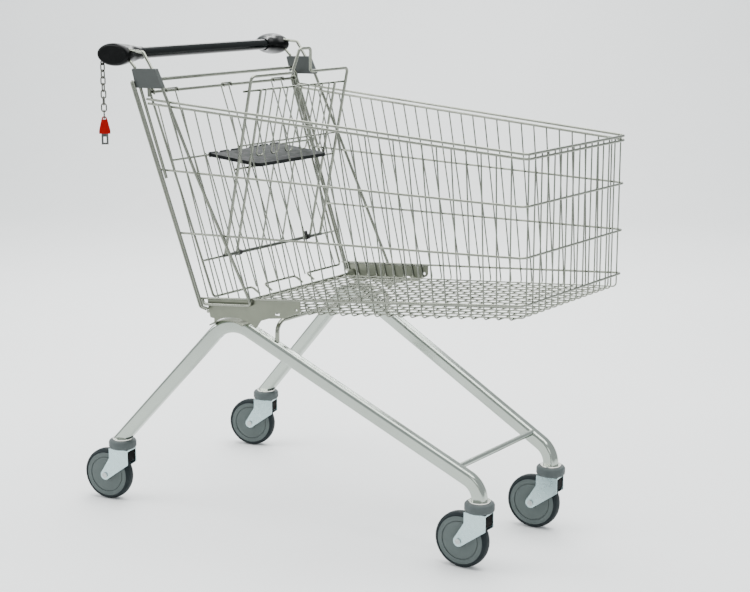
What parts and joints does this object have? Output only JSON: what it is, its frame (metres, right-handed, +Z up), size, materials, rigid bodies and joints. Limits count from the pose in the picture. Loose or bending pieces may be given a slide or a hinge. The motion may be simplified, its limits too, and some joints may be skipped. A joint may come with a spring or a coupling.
{
  "type": "shopping trolley",
  "caption": "Wire shopping trolley on bent tube legs with swivel casters, push handle, swinging rear gate, folding child seat and a coin key on a chain.",
  "frame": {"origin": "on the floor under the middle of the trolley's length and width", "axes": "+X forward, the way the trolley is pushed; +Y to the pusher's left; +Z up"},
  "size_m": [1.1745, 0.6074, 1.0954],
  "materials": {
    "wire_zinc": "bright zinc",
    "leg_silver": "satin",
    "fork_zinc": "bright zinc",
    "axle_steel": "satin",
    "disc_chrome": "polished",
    "ring_grey": "matte",
    "tyre": "matte",
    "wheel_disc": "satin",
    "guard_black": "satin",
    "bracket_steel": "dull zinc",
    "plate_grey": "satin",
    "cap_black": "gloss",
    "handle_black": "gloss",
    "seat_black": "satin",
    "clip_black": "satin",
    "key_red": "gloss",
    "key_steel": "satin",
    "chain_zinc": "zinc",
    "bar_dark": "dull"
  },
  "bodies": {
    "frame": {"bumper_rings": "ring_grey", "corner_plates": "plate_grey", "cross_tie": "wire_zinc", "floor_cross_wires": "wire_zinc", "floor_long_wires": "wire_zinc", "floor_rear_rod": "wire_zinc", "front_crossbar": "leg_silver", "front_wires": "wire_zinc", "handle_cap_left": "cap_black", "handle_cap_right": "cap_black", "handle_loop_left": "wire_zinc", "handle_loop_right": "wire_zinc", "handle_tube": "handle_black", "hinge_rod": "wire_zinc", "hoop_lower": "wire_zinc", "hoop_middle": "wire_zinc", "hoop_upper": "wire_zinc", "leg_discs": "disc_chrome", "leg_left": "leg_silver", "leg_right": "leg_silver", "rear_post_left": "wire_zinc", "rear_post_right": "wire_zinc", "rim_wires": "wire_zinc", "side_bracket_left": "bracket_steel", "side_bracket_right": "bracket_steel", "side_wires_left": "wire_zinc", "side_wires_right": "wire_zinc", "upper_cross_rod": "wire_zinc"},
    "gate": {"gate_frame": "wire_zinc", "gate_bars": "wire_zinc", "gate_wires": "wire_zinc", "pivot_clips": "clip_black"},
    "seat_back": {"back_frame": "wire_zinc", "back_pivot_bar": "bar_dark", "back_uprights": "wire_zinc", "back_cross_wires": "wire_zinc"},
    "seat": {"seat_panel": "seat_black"},
    "chain": {"chain": "chain_zinc"},
    "key": {"key_grip": "key_red", "key_tongue": "key_steel"},
    "caster_rear_right": {"fork_rear_right": "fork_zinc", "guard_rear_right": "guard_black", "axle_rear_right": "axle_steel"},
    "wheel_rear_right": {"tyre_rear_right": "tyre", "wheel_rear_right": "wheel_disc"},
    "caster_rear_left": {"fork_rear_left": "fork_zinc", "guard_rear_left": "guard_black", "axle_rear_left": "axle_steel"},
    "wheel_rear_left": {"tyre_rear_left": "tyre", "wheel_rear_left": "wheel_disc"},
    "caster_front_right": {"fork_front_right": "fork_zinc", "guard_front_right": "guard_black", "axle_front_right": "axle_steel"},
    "wheel_front_right": {"tyre_front_right": "tyre", "wheel_front_right": "wheel_disc"},
    "caster_front_left": {"fork_front_left": "fork_zinc", "guard_front_left": "guard_black", "axle_front_left": "axle_steel"},
    "wheel_front_left": {"tyre_front_left": "tyre", "wheel_front_left": "wheel_disc"}
  },
  "joints": [
    {"name": "gate_swing", "type": "hinge", "parent": "frame", "child": "gate", "pos_m": [-0.37, 0, 0.9874], "axis": [0, -1, 0], "range_deg": [0, 50]},
    {"name": "seat_back_fold", "type": "hinge", "parent": "gate", "child": "seat_back", "pos_m": [-0.22913, 0, 0.61533], "axis": [0, -1, 0], "range_deg": [0, 24]},
    {"name": "seat_lift", "type": "hinge", "parent": "gate", "child": "seat", "pos_m": [-0.3172, 0, 0.8361], "axis": [0, -1, 0], "range_deg": [0, 4]},
    {"name": "chain_swing", "type": "hinge", "parent": "frame", "child": "chain", "pos_m": [-0.497, -0.283, 1.0486], "axis": [0, -1, 0], "range_deg": [-60, 25]},
    {"name": "key_swing", "type": "hinge", "parent": "chain", "child": "key", "pos_m": [-0.497, -0.283, 0.9262], "axis": [0.7071, 0.7071, 0], "range_deg": [-20, 20]},
    {"name": "swivel_rear_right", "type": "hinge", "parent": "frame", "child": "caster_rear_right", "pos_m": [-0.4868, -0.27, 0.13], "axis": [0, 0, 1], "continuous": true},
    {"name": "roll_rear_right", "type": "hinge", "parent": "caster_rear_right", "child": "wheel_rear_right", "pos_m": [-0.52588, -0.27852, 0.0625], "axis": [-0.213, 0.977, 0], "continuous": true},
    {"name": "swivel_rear_left", "type": "hinge", "parent": "frame", "child": "caster_rear_left", "pos_m": [-0.4868, 0.27, 0.13], "axis": [0, 0, 1], "continuous": true},
    {"name": "roll_rear_left", "type": "hinge", "parent": "caster_rear_left", "child": "wheel_rear_left", "pos_m": [-0.52497, 0.25804, 0.0625], "axis": [-0.299, 0.9542, 0], "continuous": true},
    {"name": "swivel_front_right", "type": "hinge", "parent": "frame", "child": "caster_front_right", "pos_m": [0.4508, -0.1524, 0.13], "axis": [0, 0, 1], "continuous": true},
    {"name": "roll_front_right", "type": "hinge", "parent": "caster_front_right", "child": "wheel_front_right", "pos_m": [0.41095, -0.15582, 0.0625], "axis": [-0.0854, 0.9963, 0], "continuous": true},
    {"name": "swivel_front_left", "type": "hinge", "parent": "frame", "child": "caster_front_left", "pos_m": [0.4508, 0.1524, 0.13], "axis": [0, 0, 1], "continuous": true},
    {"name": "roll_front_left", "type": "hinge", "parent": "caster_front_left", "child": "wheel_front_left", "pos_m": [0.41106, 0.14787, 0.0625], "axis": [-0.1132, 0.9936, 0], "continuous": true}
  ]
}
